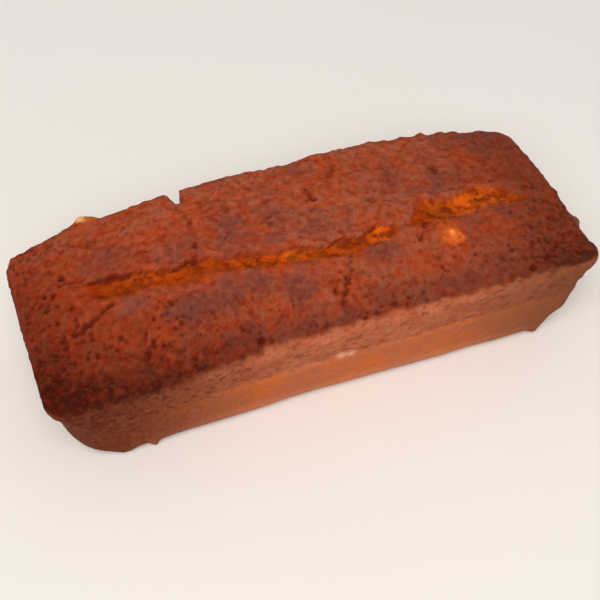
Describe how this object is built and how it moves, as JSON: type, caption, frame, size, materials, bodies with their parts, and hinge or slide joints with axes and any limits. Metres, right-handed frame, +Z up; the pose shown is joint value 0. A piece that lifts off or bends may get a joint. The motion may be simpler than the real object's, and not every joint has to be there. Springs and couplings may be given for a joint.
{
  "type": "banana bread loaf",
  "caption": "Whole rectangular loaf of banana bread with a torn, domed crust, to stand on a board, plate or shelf.",
  "frame": {"origin": "middle of the flat base, under the middle of the loaf's length and width", "axes": "+Z up; +X along the loaf towards its slightly higher end; -Y out of its front side, the lower and straighter long side"},
  "size_m": [0.2888, 0.1122, 0.0771],
  "materials": {
    "crust": "dry baked crust, red-brown, dull with a faint sheen, torn open to an orange crumb along the top"
  },
  "bodies": {
    "root": {"loaf": "crust"}
  },
  "joints": []
}
